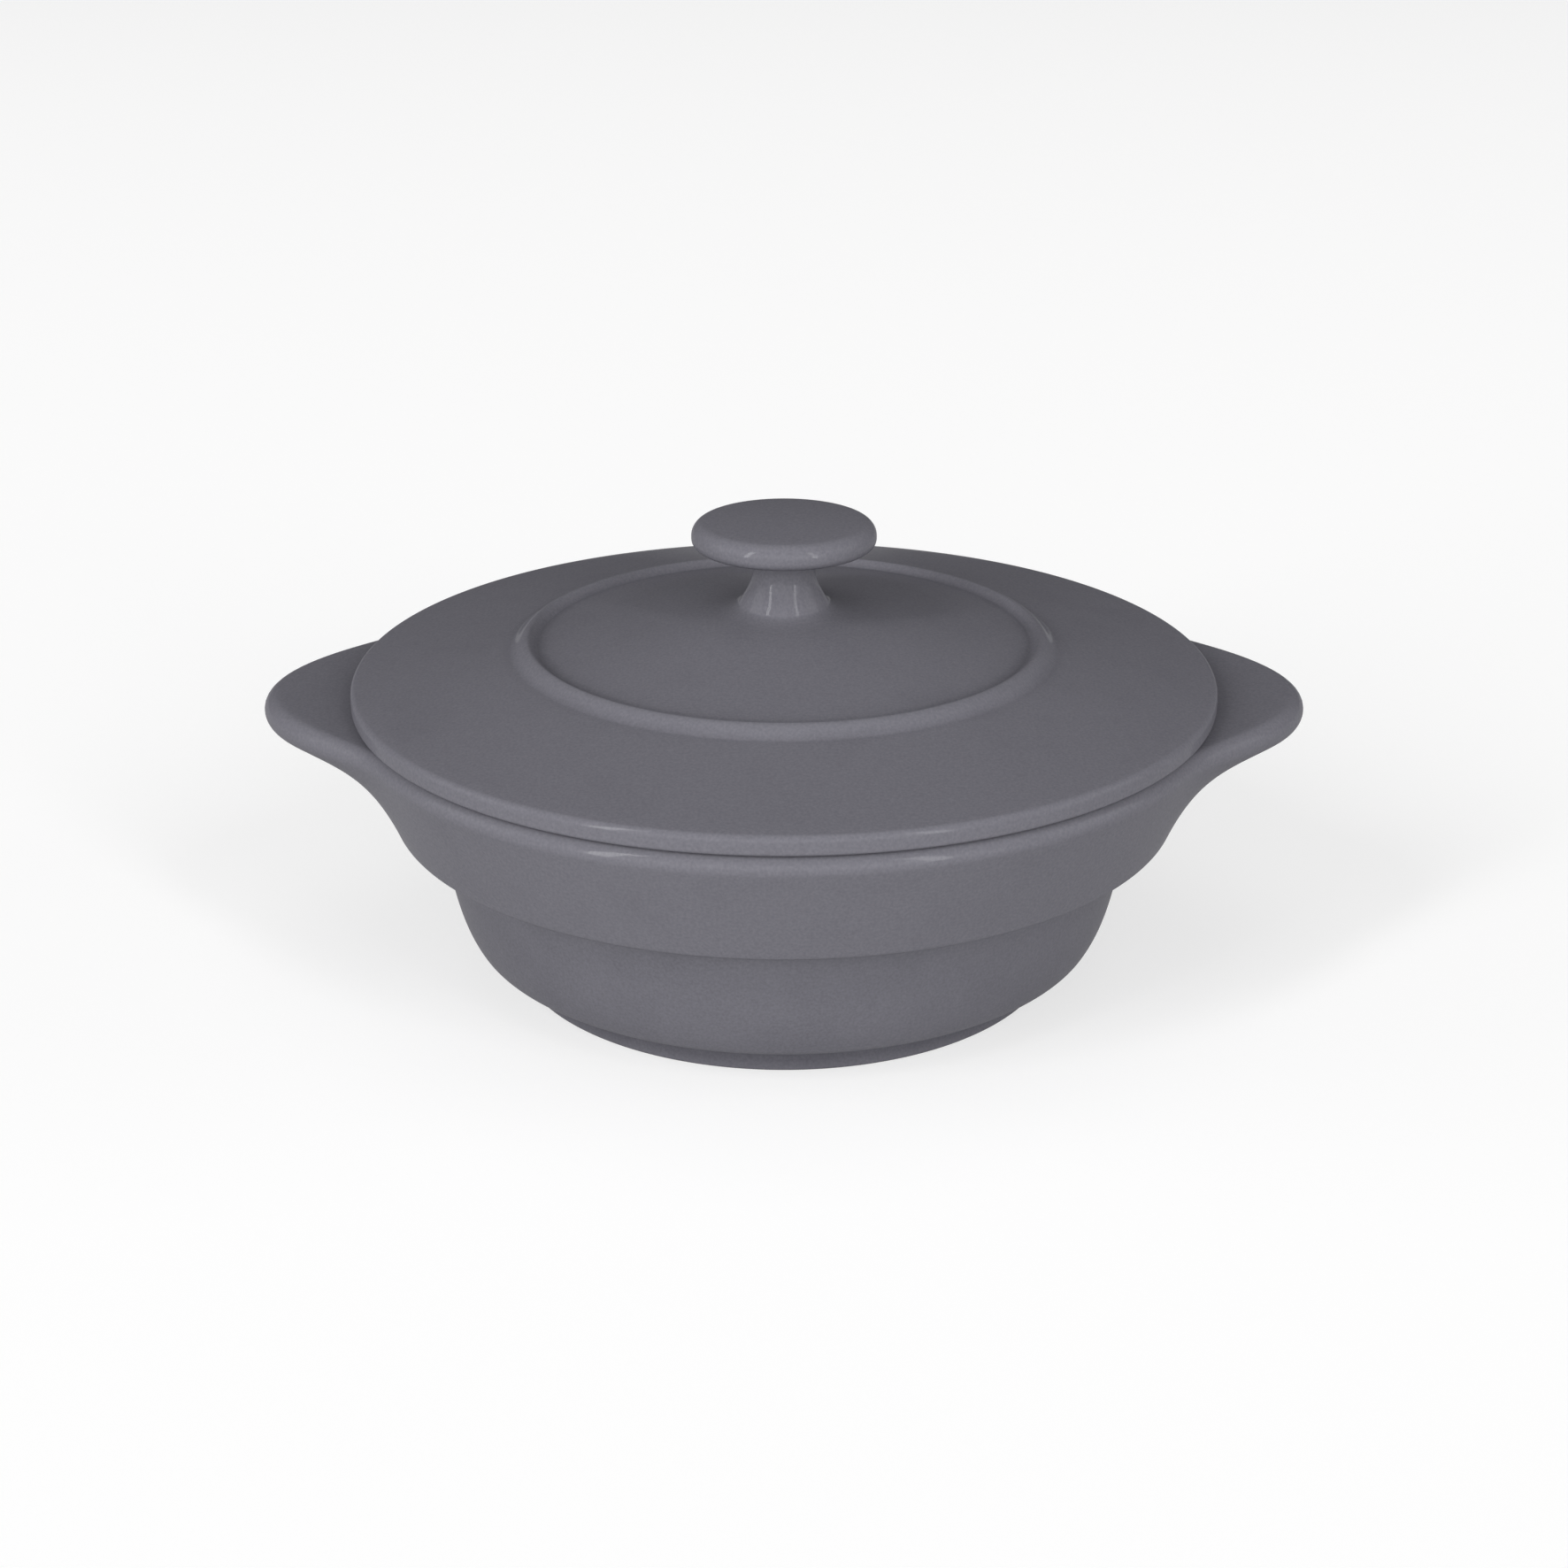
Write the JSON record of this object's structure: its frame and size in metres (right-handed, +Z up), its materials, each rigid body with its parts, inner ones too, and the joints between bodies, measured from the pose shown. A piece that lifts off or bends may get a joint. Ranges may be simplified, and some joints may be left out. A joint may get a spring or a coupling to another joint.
{
  "type": "cocotte with lid",
  "caption": "Round grey glazed cocotte with a stepped bowl, lug handles cast into the rim, and a lift-off conical lid with a raised ring and a mushroom knob.",
  "frame": {"origin": "on the surface the pot stands on, under the middle of its foot ring", "axes": "+X runs through the two lug handles, +Y points to the far side in the picture, +Z is up through the knob"},
  "size_m": [0.2422, 0.2012, 0.1077],
  "materials": {
    "pot_glaze": "satin grey glaze over white porcelain, bare foot ring",
    "lid_glaze": "satin grey glaze over white porcelain",
    "knob_glaze": "satin grey glaze over white porcelain"
  },
  "bodies": {
    "pot": {"pot": "pot_glaze"},
    "lid": {"lid": "lid_glaze", "lid_knob": "knob_glaze"}
  },
  "joints": [
    {"name": "lid_lift", "type": "slide", "parent": "pot", "child": "lid", "axis": [0, 0, 1], "range_m": [0, 0.12]}
  ]
}
